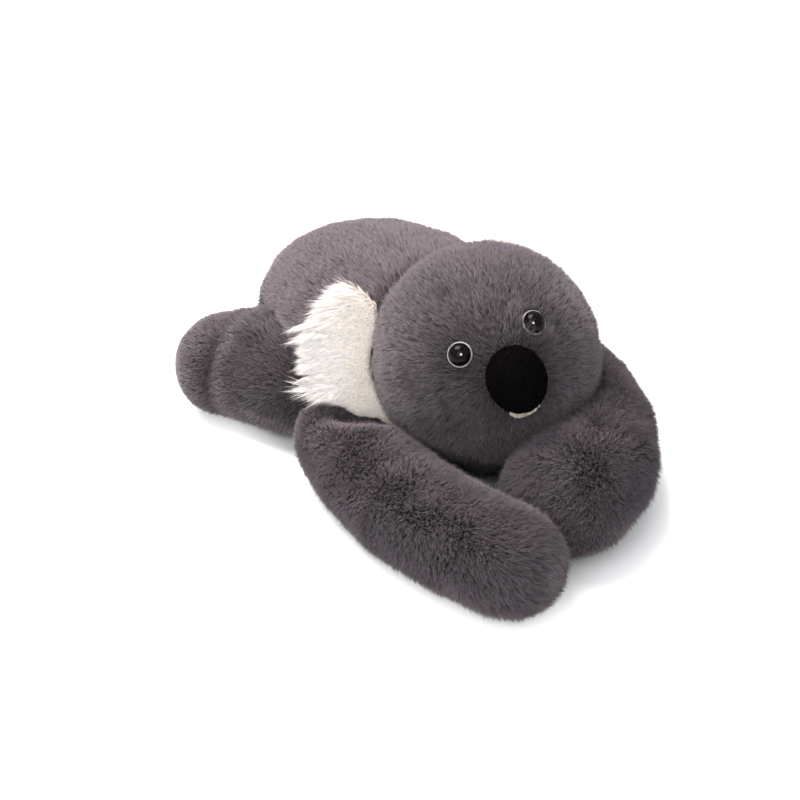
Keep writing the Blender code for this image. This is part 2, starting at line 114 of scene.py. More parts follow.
# %% [markdown]
# The world is the light that comes from everywhere. A faintly blue one fills the shadows of
# the pile. Where the camera or a reflection looks straight at it, a plain white one takes its
# place, so the picture's edges stay white and the eyes mirror a white room. Both are nodes in
# a tree, and two short helpers build every tree of this lesson.

# %% The world
SKY = (0.95, 0.97, 1.0, 1.0)
SKY_STRENGTH = 0.82
WHITE = (1.0, 1.0, 1.0, 1.0)


def feed(tree, node, inputs):
    """Link each named input from a socket, or set it to a value."""
    for name, source in inputs.items():
        if isinstance(source, bpy.types.NodeSocket):
            tree.links.new(source, node.inputs[name])
        else:
            node.inputs[name].default_value = source
    return node


def add_node(tree, kind, inputs):
    """A new shader node with these inputs."""
    return feed(tree, tree.nodes.new(f"ShaderNode{kind}"), inputs)


def seen_straight(tree):
    """1 for camera, glossy and transmission rays, else 0."""
    rays = add_node(tree, "LightPath", {}).outputs
    seen = rays["Is Camera Ray"]
    for ray in ("Is Glossy Ray", "Is Transmission Ray"):
        step = add_node(tree, "Math", {0: seen, 1: rays[ray]})
        step.operation = "MAXIMUM"
        seen = step.outputs[0]
    return seen


world = bpy.data.worlds.new("studio")
scene.world = world
world.use_nodes = True
studio = world.node_tree
soft = feed(studio, studio.nodes["Background"], {"Color": SKY, "Strength": SKY_STRENGTH})
white = add_node(studio, "Background", {"Color": WHITE, "Strength": 1.0})
lights = {0: seen_straight(studio), 1: soft.outputs[0], 2: white.outputs[0]}
choice = add_node(studio, "MixShader", lights)
feed(studio, studio.nodes["World Output"], {"Surface": choice.outputs[0]})
print("world", len(studio.nodes), "nodes")

# %% [markdown]
# Everything shown is a piece, which is an object with a mesh, and has a finish, which is a
# material. Short helpers make both, so that each later cell only says what is its own.

# %% Helpers for pieces and finishes
def new_mesh(name, points, faces):
    """A mesh from lists of points and faces."""
    mesh = bpy.data.meshes.new(name)
    mesh.from_pydata(points, [], faces)
    mesh.update()
    return mesh


def add_piece(name, mesh):
    """An object in the scene that shows a mesh."""
    made = bpy.data.objects.new(name, mesh)
    scene.collection.objects.link(made)
    return made


def new_finish(name, rough, gloss=0.5):
    """A new material, with its node tree and its main shader."""
    made = bpy.data.materials.new(name)
    made.use_nodes = True
    tree = made.node_tree
    shader = tree.nodes["Principled BSDF"]
    return made, tree, feed(tree, shader, {"Roughness": rough, "Specular IOR Level": gloss})


def ramp(tree, source, stops):
    """A source's colours by a ramp with these (place, colour) stops."""
    made = add_node(tree, "ValToRGB", {0: source})
    elements = made.color_ramp.elements
    while len(elements) > 1:
        elements.remove(elements[-1])
    elements[0].position = stops[0][0]
    elements[0].color = (*stops[0][1], 1.0)
    for place, colour in stops[1:]:
        elements.new(place).color = (*colour, 1.0)
    return made.outputs[0]


def mottle(tree, shader, scale, stops, detail=2.0):
    """Colour a shader by soft noise on the object's own coordinates. Gives those and the noise."""
    where = add_node(tree, "TexCoord", {}).outputs["Object"]
    noise_node = add_node(tree, "TexNoise", {"Vector": where, "Scale": scale, "Detail": detail})
    cloud = noise_node.outputs["Fac"]
    feed(tree, shader, {"Base Color": ramp(tree, cloud, stops)})
    return where, cloud


# %% [markdown]
# The floor is a wide pale disc. Light alone would leave it a little grey, so it also glows
# faintly for the camera. The toy's shadow still darkens the part of its colour that comes
# from the lamps. Under the toy the glow fades out, because no light gets there.

# %% The floor
FLOOR_RADIUS = 6.0
FLOOR_SIDES = 96
FLOOR_WHITE = (0.86, 0.86, 0.86, 1.0)
FLOOR_GLOW = 0.35
UNDER_WIDTH = 0.13
UNDER_LENGTH = 0.20
GLOW_RETURNS = 1.25

turns = [2 * pi * i / FLOOR_SIDES for i in range(FLOOR_SIDES)]
rim = [(FLOOR_RADIUS * cos(a), FLOOR_RADIUS * sin(a), 0.0) for a in turns]
floor = add_piece("floor", new_mesh("floor", rim, [list(range(FLOOR_SIDES))]))
paper, tree, shader = new_finish("floor_paper", rough=1.0, gloss=0.0)
feed(tree, shader, {"Base Color": FLOOR_WHITE})
where = add_node(tree, "TexCoord", {}).outputs["Object"]
under = (1 / UNDER_WIDTH, 1 / UNDER_LENGTH, 1.0)
squeeze = add_node(tree, "Mapping", {"Vector": where, "Scale": under})
reach = add_node(tree, "VectorMath", {0: squeeze.outputs[0]})
reach.operation = "LENGTH"
fading = {"Value": reach.outputs["Value"], "From Min": 1.0, "From Max": GLOW_RETURNS}
fade = add_node(tree, "MapRange", {**fading, "To Max": FLOOR_GLOW})
lift = add_node(tree, "Math", {0: seen_straight(tree), 1: fade.outputs[0]})
lift.operation = "MULTIPLY"
glow = add_node(tree, "Emission", {"Strength": lift.outputs[0]})
both = add_node(tree, "AddShader", {0: shader.outputs[0], 1: glow.outputs[0]})
feed(tree, tree.nodes["Material Output"], {"Surface": both.outputs[0]})
floor.data.materials.append(paper)
print("floor", FLOOR_RADIUS, "m in radius")

# %% [markdown]
# Long pile is thousands of fine spikes on a dark woven ground. Blender's own hair would be
# quick, but it is lost in an export, so here the fibres are real closed spikes. Most are short
# and straight and stand close, and some are longer and bend. The colour runs from a dark root
# to a pale tip. Each spike lies on a narrow strip of one shared map: across the map is the
# spike's tone, and along it is the way from root to tip. The material only reads that map.

# %% The pile's material
MAP = "OFBake"
SHEEN_TINT = (1.0, 0.92, 0.96, 1.0)
SHEEN_ROUGH = 0.45
COOL_COLOURS, WARM_COLOURS = 6, 7


def pile_material(name, cool, warm, sheen, rough, gloss=0.25):
    """Pile whose tone goes from cool to warm across its map, and from root to tip along it."""
    made, tree, shader = new_finish(name, rough, gloss)
    shine = {"Sheen Weight": sheen, "Sheen Tint": SHEEN_TINT, "Sheen Roughness": SHEEN_ROUGH}
    feed(tree, shader, shine)
    where = add_node(tree, "UVMap", {})
    where.uv_map = MAP
    split = add_node(tree, "SeparateXYZ", {0: where.outputs[0]}).outputs
    mix = add_node(tree, "Mix", {})
    mix.data_type = "RGBA"
    colours = {COOL_COLOURS: ramp(tree, split["Y"], cool), WARM_COLOURS: ramp(tree, split["Y"], warm)}
    feed(tree, mix, {"Factor": split["X"], **colours})
    feed(tree, shader, {"Base Color": mix.outputs[2]})
    return made


grey_pile = pile_material(
    "grey_pile",
    [(0.0, (0.005, 0.004, 0.005)), (0.6, (0.026, 0.022, 0.026)), (1.0, (0.062, 0.053, 0.061))],
    [(0.0, (0.010, 0.008, 0.010)), (0.6, (0.078, 0.066, 0.075)), (1.0, (0.195, 0.166, 0.184))],
    sheen=0.25,
    rough=0.75,
)
white_pile = pile_material(
    "white_pile",
    [(0.0, (0.84, 0.76, 0.65)), (0.6, (0.89, 0.83, 0.74)), (1.0, (0.92, 0.87, 0.80))],
    [(0.0, (0.90, 0.88, 0.86)), (0.6, (0.94, 0.92, 0.91)), (1.0, (0.96, 0.95, 0.95))],
    sheen=0.1,
    rough=0.7,
)
print("pile materials", grey_pile.name, white_pile.name)

# %% [markdown]
# The woven ground under the pile only shows where the pile parts. It is a dull cloth, mottled
# by noise. Small cells on the toy's own coordinates raise its threads, so no picture is needed.

# %% The ground cloth
WEAVE_SCALE = 420.0
WEAVE_HEIGHT = 0.0006
WEAVE_STRENGTH = 0.5
MOTTLE_SCALE = 38.0


def cloth_material(name, dark, pale, sheen):
    """Dull woven cloth between two colours, with a fine raised weave."""
    made, tree, shader = new_finish(name, rough=0.95, gloss=0.03)
    where, _ = mottle(tree, shader, MOTTLE_SCALE, [(0.3, dark), (0.7, pale)], detail=5.0)
    weave = add_node(tree, "TexVoronoi", {"Vector": where, "Scale": WEAVE_SCALE})
    relief = {"Height": weave.outputs["Distance"], "Distance": WEAVE_HEIGHT}
    bump = add_node(tree, "Bump", {**relief, "Strength": WEAVE_STRENGTH})
    feed(tree, shader, {"Sheen Weight": sheen, "Normal": bump.outputs[0]})
    return made


ground_grey = cloth_material("ground_grey", (0.012, 0.009, 0.011), (0.026, 0.020, 0.022), 0.05)
ground_white = cloth_material("ground_white", (0.84, 0.80, 0.73), (0.92, 0.89, 0.84), 0.1)
print("ground cloths", ground_grey.name, ground_white.name)

# %% [markdown]
# Each stuffed part begins as a copy of its filling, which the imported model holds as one
# closed block. An even remesh turns it into small regular faces, and a few smoothing steps
# round its cut edges like cloth over fibre. Then it grows a little, because cloth lies
# outside its filling.

# %% The sewn skins
VOXEL = 0.0045
SKIN_SMOOTHING = 4
SKIN_GROWTH = 0.0012
SKIN_ABOVE_FLOOR = 0.0004
STUFFED = ("trunk", "head", "arm_right", "arm_left", "leg_right", "leg_left")


def node_name(title, part):
    """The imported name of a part's cover or filling: arm_right gives arm_cover_right."""
    limb, _, side = title.partition("_")
    return f"{limb}_{part}_{side}" if side else f"{title}_{part}"


def applied(piece):
    """The piece's mesh with its modifiers worked in."""
    graph = bpy.context.evaluated_depsgraph_get()
    mesh = bpy.data.meshes.new_from_object(piece.evaluated_get(graph))
    piece.modifiers.clear()
    piece.data = mesh
    return mesh


def read(items, name, width):
    """Numbers of a mesh as rows."""
    found = np.empty(len(items) * width, np.float32)
    items.foreach_get(name, found)
    return found.reshape(-1, width).astype(float)


def between(values, low, high):
    """0 below low, 1 above high, and a smooth step between them."""
    share = ((values - low) / (high - low)).clip(0.0, 1.0)
    return share * share * (3.0 - 2.0 * share)


def rounded_copy(name, node, voxel, growth):
    """An even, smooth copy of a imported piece, and where its points lie once it has grown."""
    skin = add_piece(name, nodes[node].data.copy())
    skin.data.name = name
    skin.data.materials.clear()
    even = skin.modifiers.new("even", "REMESH")
    even.mode = "VOXEL"
    even.voxel_size = voxel
    round_off = skin.modifiers.new("round_off", "SMOOTH")
    round_off.iterations = SKIN_SMOOTHING
    mesh = applied(skin)
    return skin, read(mesh.vertices, "co", 3) + read(mesh.vertex_normals, "vector", 3) * growth


def move_points(mesh, points):
    """Put a mesh's vertices in new places."""
    mesh.vertices.foreach_set("co", points.astype(np.float32).ravel())
    mesh.update()


def cover_with(skin, points, ground):
    """Give a skin its last shape and its cloth."""
    move_points(skin.data, points)
    skin.data.shade_smooth()
    skin.data.materials.append(ground)


def sew_skin(title):
    """The closed cloth skin over one filling."""
    name = f"{title}_skin"
    skin, points = rounded_copy(name, node_name(title, "filling"), VOXEL, SKIN_GROWTH)
    points[:, 2] = points[:, 2].clip(SKIN_ABOVE_FLOOR)
    cover_with(skin, points, ground_grey)
    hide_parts(node_name(title, "cover"), node_name(title, "filling"))
    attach(skin, title)
    print(name, len(points), "points")
    return skin


skins = {title: sew_skin(title) for title in STUFFED}

# %% [markdown]
# Under the ear the right arm's shoulder is slack, and the ear's lower lobe lies in the hollow.
# The skin is lowered there by a smooth dip, so it stays inside its solid.

# %% Sink the right shoulder
SINK_PLACE = np.array((-0.088, 0.008))
SINK_DEPTH = 0.021
SINK_INNER = 0.022
SINK_OUTER = 0.056
SHOULDER_TOP = 0.0875


def sink_shoulder(mesh):
    """Lower the arm's upper end by a smooth dip, most at its top and nothing at the floor."""
    points = read(mesh.vertices, "co", 3)
    far = np.linalg.norm(points[:, :2] - SINK_PLACE, axis=1)
    share = 1.0 - between(far, SINK_INNER, SINK_OUTER)
    points[:, 2] *= 1.0 - SINK_DEPTH / SHOULDER_TOP * share
    move_points(mesh, points)
    print("shoulder lowered by", round(float(SINK_DEPTH * share.max()), 4))


sink_shoulder(skins["arm_right"].data)

# %% [markdown]
# The hard and velvet parts of the face have their places now, because the pile has to part
# round them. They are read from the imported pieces: the nose's way is the line from the head's
# centre to its middle, and an eye's crown is its point farthest from that centre.

# %% The face's places
HEAD_CENTRE = Vector((0.0, -0.0405, 0.112))


def middle(node):
    """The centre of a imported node's box."""
    low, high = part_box(node)
    return (low + high) / 2


def eye_crown(side):
    """The eye's point that is farthest from the head's centre."""
    points = read(nodes[f"eye_{side}"].data.vertices, "co", 3)
    far = np.linalg.norm(points - np.array(HEAD_CENTRE), axis=1)
    return Vector(points[far.argmax()])


nose_way = (middle("nose_cover") - HEAD_CENTRE).normalized()
eye_places = {side: eye_crown(side) for side in ("right", "left")}
print("nose way", [round(x, 3) for x in nose_way])
print("eyes", {side: [round(x, 4) for x in place] for side, place in eye_places.items()})

# %% [markdown]
# Growing pile starts with its roots. They are scattered over the cloth's small triangles, each
# chosen by its area, so the pile is as dense on a large face as on a small one. A seeded
# chance puts every root in the same place each time the script runs.

# %% Scatter the roots
def unit(rows):
    """Rows scaled to length 1."""
    return rows / np.maximum(np.linalg.norm(rows, axis=1, keepdims=True), 1e-9)


def along_surface(rows, normals):
    """The part of each row that lies along the surface, at length 1."""
    return unit(rows - (rows * normals).sum(1, keepdims=True) * normals)


def face_area(mesh):
    """The mesh's area."""
    return read(mesh.polygons, "area", 1).sum()


def scatter(mesh, count, rng):
    """Places spread evenly by area over a mesh, with the surface's normal at each."""
    mesh.calc_loop_triangles()
    corners = np.empty(len(mesh.loop_triangles) * 3, np.int32)
    mesh.loop_triangles.foreach_get("vertices", corners)
    corners = corners.reshape(-1, 3)
    points = read(mesh.vertices, "co", 3)[corners]
    normals = read(mesh.vertex_normals, "vector", 3)[corners]
    edges = points[:, 1:] - points[:, :1]
    area = np.linalg.norm(np.cross(edges[:, 0], edges[:, 1]), axis=1)
    chosen = rng.choice(len(area), count, p=area / area.sum())
    share = rng.random((2, count))
    share = np.where(share.sum(0) > 1.0, 1.0 - share, share)
    parts = np.stack([1.0 - share.sum(0), *share])[:, :, None]
    roots = (points[chosen].transpose(1, 0, 2) * parts).sum(0)
    ways = unit((normals[chosen].transpose(1, 0, 2) * parts).sum(0))
    return roots, ways


print("skins to cover:", round(sum(face_area(skin.data) for skin in skins.values()) * 1e4), "cm2")

# %% [markdown]
# A fibre of this pile is thinner than a hair, and the real toy wears many millions of them. So
# one spike stands for a small lock of fibres. It has three sides, a wide foot and a sharp tip.
# A short one is straight. A long one has one more ring, so it can bend.

# %% Build the spikes
STRIP_HALF = 0.006


class Spike:
    """How one kind of spike is built: its rings of three points, and then its tip.

    A ring is given by its height and its girth, as shares of the spike's. in_piece is how
    many spikes one piece may hold, which keeps it under 200,000 triangles.
    """

    def __init__(self, rings, in_piece):
        self.rings = rings
        self.in_piece = in_piece
        top = 3 * (len(rings) - 1)
        faces = [(0, 2, 1)]
        for low in range(0, top, 3):
            for i in range(3):
                j = (i + 1) % 3
                faces += [(low + i, low + j, low + j + 3), (low + i, low + j + 3, low + i + 3)]
        faces += [(top + i, top + (i + 1) % 3, top + 3) for i in range(3)]
        self.faces = np.array(faces)
        self.along = np.array([ring[0] for ring in rings for _ in range(3)] + [1.0])
        self.across = np.array([-1.0, 0.0, 1.0] * len(rings) + [0.0]) * STRIP_HALF


SHORT = Spike([(0.0, 1.0)], 49000)
LONG = Spike([(0.0, 1.0), (0.5, 0.78)], 19500)
MAP_EDGE = 0.02
SPIKE_ABOVE_FLOOR = 0.0003
print("faces of a short spike and a long one:", len(SHORT.faces), len(LONG.faces))


def spike_mesh(name, kind, roots, ways, ends, lengths, widths, tones, rng):
    """Closed three-sided spikes: they leave along ways and turn toward ends as they rise."""
    count = len(roots)
    size = len(kind.along)
    side = along_surface(rng.normal(size=(count, 3)), ways)
    other = np.cross(ways, side)
    points = np.empty((count, size, 3))
    for level, (up, girth) in enumerate(kind.rings):
        centre = roots + ways * (lengths * up)[:, None]
        for corner in range(3):
            angle = corner * 2 * pi / 3
            out = (side * cos(angle) + other * sin(angle)) * (widths * girth / 2)[:, None]
            points[:, 3 * level + corner] = centre + out
    points[:, -1] = roots + (ways + ends) * (lengths / 2)[:, None]
    points[:, :, 2] = points[:, :, 2].clip(SPIKE_ABOVE_FLOOR)
    faces = (kind.faces[None] + size * np.arange(count)[:, None, None]).reshape(-1, 3)
    mesh = bpy.data.meshes.new(name)
    mesh.vertices.add(count * size)
    mesh.vertices.foreach_set("co", points.astype(np.float32).ravel())
    mesh.loops.add(faces.size)
    mesh.loops.foreach_set("vertex_index", faces.astype(np.int32).ravel())
    mesh.polygons.add(len(faces))
    mesh.polygons.foreach_set("loop_start", np.arange(0, faces.size, 3, dtype=np.int32))
    across = (tones[:, None] + kind.across).clip(0.0, 1.0)
    along = np.broadcast_to(MAP_EDGE + (1 - 2 * MAP_EDGE) * kind.along, across.shape)
    places = np.stack([across, along], 2).reshape(-1, 2)[faces.ravel()]
    layer = mesh.uv_layers.new(name=MAP)
    layer.uv.foreach_set("vector", places.astype(np.float32).ravel())
    mesh.update(calc_edges=True)
    mesh.shade_smooth()
    return mesh


# %% [markdown]
# Where two stuffed parts press together, real pile is pushed aside and flattened. Each spike
# looks for the nearest face of the other parts. If its tip would end inside one, it turns
# away from that face and gets shorter, a few times over, until it is clear.

# %% Keep the pile off its neighbours
NEAR = 0.016
CLEAR = 0.0004
PUSHES = 4
PUSH = 0.5
PUSH_SHORTER = 0.85
PRESSED = 0.6


def tree_of(pieces):
    """A search tree over the faces of some meshes."""
    points, faces = [], []
    for mesh in pieces:
        start = len(points)
        points += [v.co.copy() for v in mesh.vertices]
        faces += [[start + i for i in face.vertices] for face in mesh.polygons]
    return BVHTree.FromPolygons(points, faces)


def part_pile(tree, roots, ways, lengths, clear):
    """Turn and shorten the spikes near other surfaces. Gives back which stay, and how near."""
    stays = np.ones(len(roots), bool)
    near = np.zeros(len(roots))
    for i, root in enumerate(roots):
        place, out, _, far = tree.find_nearest(Vector(root), NEAR)
        if place is None:
            continue
        if (Vector(root) - place).dot(out) < 0.0:
            stays[i] = False
            continue
        near[i] = 1.0 - far / NEAR
        way = Vector(ways[i])
        length = lengths[i]
        for _ in range(PUSHES):
            tip = Vector(root) + way * length
            foot, face_out, _, _ = tree.find_nearest(tip)
            depth = (tip - foot).dot(face_out)
            if depth > clear:
                break
            way = (way + face_out * PUSH).normalized()
            length *= PUSH_SHORTER
        else:
            length *= PRESSED
        ways[i] = way
        lengths[i] = length
    return stays, near


# %% [markdown]
# Pile has an order: it leans the way it was combed, lies in soft waves, and clumps into
# wisps whose tips meet. A coat says how much of each a part has. What it doesn't say comes
# from a plain coat.

# %% The plain coat
QUICK_SHARE = 1.0


def above_floor(roots, normals):
    """All of the pile, but a quarter of it where the toy lies on the floor."""
    return np.where((roots[:, 2] < 0.003) & (normals[:, 2] < -0.6), 0.25, 1.0)


def per_root(value, roots):
    """A coat's number for every root: it may be one number, or a rule from the roots."""
    return value(roots) if callable(value) else np.full(len(roots), float(value))


PLAIN_COAT = {
    "keep": above_floor,
    "spacing": 0.0021,
    "long": 0.22,
    "wild": 0.14,
    "waves": 0.45,
    "gather": 0.40,
    "stray": 0.0,
    "fall": np.array((0.0, 0.0, -0.12)),
    "clear": CLEAR,
    "tone": 0.0,
    "shade": 0.40,
}
print("a coat's settings:", *PLAIN_COAT)

# %% [markdown]
# Each patch of the cloth has one wisp. Its spikes share a wildness, a lean and a tone, and
# bend toward the tip of the wisp's middle spike. Smooth noise over the whole toy makes the
# waves, so they run on from one wisp to the next. Blender starts this noise from the clock,
# so it gets a seed, and the waves are the same in every run.

# %% Comb the pile
WAVE_SCALE = 45.0
WAVE_SEED = 7
LEAN_SPREAD = 0.18
WAY_SPREAD = 0.14
LENGTH_SPREAD = 0.12
LONG_LENGTH = 1.06
SHORT_LENGTH = 0.88
STRAY_SHARE = 0.18
END_FLOW = 0.35
END_SPREAD = 0.12
noise.seed_set(WAVE_SEED)


def share_wisps(roots, area, spacing, rng):
    """Sort the roots into small patches: each root's wisp, and each wisp's middle root."""
    wisps = max(1, int(area / spacing**2))
    middles = rng.choice(len(roots), wisps)
    finder = KDTree(wisps)
    for i, j in enumerate(middles):
        finder.insert(roots[j], i)
    finder.balance()
    return np.array([finder.find(root)[1] for root in roots]), middles


def comb_pile(coat, roots, normals, wisp, middles, rng):
    """Each spike's way, its length, whether it is a long one, and the flow under it."""
    flow = along_surface(coat["comb"](roots, normals), normals)
    length = per_root(coat["length"], roots)
    wild = rng.normal(size=(len(middles), 3))[wisp] * per_root(coat["wild"], roots)[:, None]
    lean = per_root(coat["lean"], roots) * rng.normal(1.0, LEAN_SPREAD, len(middles))[wisp]
    waves = np.array([noise.noise_vector(Vector(root) * WAVE_SCALE) for root in roots])
    waves *= per_root(coat["waves"], roots)[:, None]
    calm = normals + flow * lean[:, None] + waves
    ways = unit(calm + wild + rng.normal(size=roots.shape) * WAY_SPREAD)
    is_long = rng.random(len(roots)) < coat["long"]
    lengths = length * rng.normal(1.0, LENGTH_SPREAD, len(roots)).clip(0.5, 1.4)
    lengths *= np.where(is_long, LONG_LENGTH, SHORT_LENGTH)
    astray = rng.random(len(middles))[wisp] < STRAY_SHARE
    lengths *= 1.0 + per_root(coat["stray"], roots) * astray
    centres = (roots + unit(calm) * length[:, None])[middles][wisp]
    tips = roots + ways * lengths[:, None]
    ways = unit(tips + (centres - tips) * per_root(coat["gather"], roots)[:, None] - roots)
    return ways, lengths, is_long, flow


def bend_pile(coat, ways, is_long, flow, rng):
    """Each spike's first way and its tip's: the long ones bend over, the short ones don't."""
    ends = unit(ways + flow * END_FLOW + coat["fall"] + rng.normal(size=ways.shape) * END_SPREAD)
    ways = np.where(is_long[:, None], ways, unit(ways + ends))
    return ways, np.where(is_long[:, None], ends, ways)


print("waves every", round(100 / WAVE_SCALE, 1), "cm")

# %% [markdown]
# No two tufts have the same tone. Noise makes clouds of paler and darker pile, each wisp and
# each spike differs a little, and the pile is painted darker where another part lies close, as
# painted shade. The tone is only a place on the material's map, so all of the grey pile shares one
# material.

# %% Tone the pile
CLOUD_SCALE = 32.0
CLOUD_TONE = 0.18
TONE_SPREAD = 0.10
TONE_LOW = 0.02
TONE_HIGH = 0.98


def tone_pile(coat, roots, near, wisp, middles, rng):
    """Each spike's place across the map, from 0, dark, to 1, pale."""
    cloud = np.array([noise.noise(Vector(root) * CLOUD_SCALE) for root in roots])
    tones = 0.5 + per_root(coat["tone"], roots) + CLOUD_TONE * cloud
    shared = TONE_SPREAD * rng.normal(size=len(middles))[wisp]
    own = TONE_SPREAD * rng.normal(size=len(roots))
    tones += shared + own
    # Painted shade: the pile is darkened where another part lies near it.
    tones -= coat["shade"] * near
    return tones.clip(TONE_LOW, TONE_HIGH)


# %% [markdown]
# Now one call can cover a skin. It scatters the roots, combs them, keeps them off the
# neighbours and gives each a tone. No piece may grow too large, so the spikes are dealt out
# to as many as it takes, and each rides on the body of the part that it grows on.

# %% Grow pile on a skin
WIDTH_SPREAD = 0.2
pile_triangles = {}


def grow(title, mesh, body, material, coat, seed, neighbours):
    """Pile over a mesh, split into pieces that ride on a body."""
    coat = {**PLAIN_COAT, **coat}
    rng = np.random.default_rng(seed)
    area = face_area(mesh)
    roots, normals = scatter(mesh, int(area * coat["density"] * QUICK_SHARE), rng)
    share = coat["keep"](roots, normals)
    kept = rng.random(len(roots)) < share
    roots, normals = roots[kept], normals[kept]
    wisp, middles = share_wisps(roots, area, coat["spacing"], rng)
    ways, lengths, is_long, flow = comb_pile(coat, roots, normals, wisp, middles, rng)
    stays, near = part_pile(neighbours, roots, ways, lengths, coat["clear"])
    ways, ends = bend_pile(coat, ways, is_long, flow, rng)
    widths = coat["width"] / QUICK_SHARE**0.5
    widths = widths * rng.normal(1.0, WIDTH_SPREAD, len(roots)).clip(0.5, 1.6)
    tones = tone_pile(coat, roots, near, wisp, middles, rng)
    shape = (roots, ways, ends, lengths, widths, tones)
    part = 0
    triangles = 0
    for kind, wanted in ((SHORT, ~is_long), (LONG, is_long)):
        rows = np.flatnonzero(stays & wanted)
        triangles += len(rows) * len(kind.faces)
        for start in range(0, len(rows), kind.in_piece):
            some = rows[start : start + kind.in_piece]
            part += 1
            name = f"{title}_{part}"
            piece = add_piece(name, spike_mesh(name, kind, *(values[some] for values in shape), rng))
            piece.data.materials.append(material)
            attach(piece, body)
    pile_triangles[title] = triangles
    print(title, stays.sum(), "spikes", round(near.mean(), 2), "near", round(area * 1e4), "cm2")


# %% [markdown]
# The pile has a direction. On the head it runs away from the nose, on the trunk from the
# neck to the rump, and on the limbs from the body to the paws. A limb's direction comes
# from the bent line that it follows.

# %% Comb directions
ARM_LINES = {
    "right": ((-0.103, 0.0125), (-0.1400, -0.0855), (-0.100, -0.193)),
    "left": ((0.110, 0.0085), (0.087, -0.137), (-0.018, -0.1645)),
}
LEG_LINE = ((0.088, 0.1155), (0.099, 0.1525), (0.121, 0.1725))
LINE_STEPS = 24
LINE_HEIGHT = 0.04
NOSE_ROOT = np.array(HEAD_CENTRE + nose_way * 0.09)


def from_nose(roots, normals):
    """Away from the nose, over the head."""
    return roots - NOSE_ROOT


def to_rump(roots, normals):
    """From the neck to the rump."""
    return np.tile((0.0, 1.0, -0.1), (len(roots), 1))


def down_limb(line):
    """Along a limb, from the body to its end."""
    start, bend, end = (np.array((*place, LINE_HEIGHT)) for place in line)
    shares = np.linspace(0.0, 1.0, LINE_STEPS)[:, None]
    rest = 1.0 - shares
    places = start * rest**2 + bend * 2 * rest * shares + end * shares**2
    turns = unit((bend - start) * rest + (end - bend) * shares)

    def comb(roots, normals):
        far = np.linalg.norm(roots[:, None, :2] - places[None, :, :2], axis=2)
        return turns[far.argmin(1)]

    return comb


def mirrored(line):
    """A limb's line on the toy's other side."""
    return tuple((-x, y) for x, y in line)


print("limb lines", list(ARM_LINES), "and the legs'")

# %% [markdown]
# The trunk and the arms wear the same grey pile. It is clipped shorter toward the rump and
# under the ear, and left full on the forearms. A rule gives every root its own length, from
# where it is, so the coat changes without a seam.

# %% The coats of the trunk and the arms
GREY = {"density": 1.6e6, "width": 0.00062, "lean": 0.45, "long": 0.16}
TRUNK_PILE = 0.0112
RUMP_CUT = 0.0042
SHOULDER_PILE = 0.0078
FOREARM_MORE = 0.0027
UNDER_EAR_CUT = 0.0040
LEFT_ARM_PILE = 0.0095
PAW_MORE = 0.0035
PAW_CUT = 0.0045
ARM_TONE = 0.27
UPPER_ARM_PAINTED_LIGHT = 0.40
OUTSIDE_PAINTED_LIGHT = 0.15


def trunk_length(roots):
    """Longer at the withers, shorter at the rump."""
    return TRUNK_PILE - RUMP_CUT * between(roots[:, 1], 0.05, 0.16)


def arm_right_length(roots):
    """Short on the shoulder and under the ear, and full on the forearm."""
    under_ear = 1.0 - between(np.linalg.norm(roots[:, :2] - SINK_PLACE, axis=1), 0.020, 0.040)
    forearm = between(-roots[:, 1], 0.03, 0.12)
    return SHOULDER_PILE + FOREARM_MORE * forearm - UNDER_EAR_CUT * under_ear


def arm_left_length(roots):
    """Fullest on the outside of the paw, and worn short low on its front."""
    front = between(-roots[:, 1], 0.12, 0.18)
    low = (1.0 - between(roots[:, 2], 0.030, 0.055)) * (1.0 - between(roots[:, 0], -0.03, 0.01))
    full = PAW_MORE * front * between(roots[:, 0], -0.01, 0.05)
    return LEFT_ARM_PILE + full - PAW_CUT * front * low


def arm_tone(roots):
    """Paler on the upper arm and on its outside, as painted light."""
    outside = between(np.abs(roots[:, 0]), 0.09, 0.13)
    upper = 1.0 - between(-roots[:, 1], 0.05, 0.12)
    return ARM_TONE + UPPER_ARM_PAINTED_LIGHT * upper + OUTSIDE_PAINTED_LIGHT * outside


ARM_LENGTHS = {"right": arm_right_length, "left": arm_left_length}
COATS = {"trunk": {**GREY, "length": trunk_length, "lean": 0.85, "comb": to_rump, "tone": 0.36}}
for side, line in ARM_LINES.items():
    coat = {**GREY, "length": ARM_LENGTHS[side], "comb": down_limb(line), "tone": arm_tone}
    COATS[f"arm_{side}"] = coat
print("coats", list(COATS))

# %% [markdown]
# The head's pile is clipped close round the right eye. Over the left eye it stands long and
# hides the dome's edge, as the face turns away there. Under the chin it is longest, and
# reaches the floor. The face is smooth, and the back of the head is wavier.

# %% The coat of the head
HEAD_PILE = 0.0092
RIGHT_EYE_CUT = 0.0050
LEFT_EYE_CUT = 0.0012
CHIN_MORE = 0.0110
OVER_EYE_MORE = 0.0075
TO_NOSE = np.array((-0.783, 0.125, -0.594))
EYE_HOLE = 0.0172
HEAD_TONE = -0.21
CHIN_PAINTED_SHADE = 0.34
FACE_WAVES = 0.18
NAPE_WAVES = 0.22


def from_eye(roots, side):
    """How far each root lies from an eye's crown."""
    return np.linalg.norm(roots - np.array(eye_places[side]), axis=1)


def head_length(roots):
    """Short round the right eye, and long below, where the chin's pile reaches the floor."""
    near_right = 1.0 - between(from_eye(roots, "right"), 0.010, 0.022)
    near_left = 1.0 - between(from_eye(roots, "left"), 0.009, 0.020)
    below = 1.0 - between(roots[:, 2], 0.020, 0.050)
    aside = unit(roots - np.array(eye_places["left"])) @ TO_NOSE
    over = (1.0 - between(from_eye(roots, "left"), 0.021, 0.027)) * between(aside, 0.0, 0.7)
    cut = HEAD_PILE - RIGHT_EYE_CUT * near_right - LEFT_EYE_CUT * near_left
    return cut + CHIN_MORE * below + OVER_EYE_MORE * over


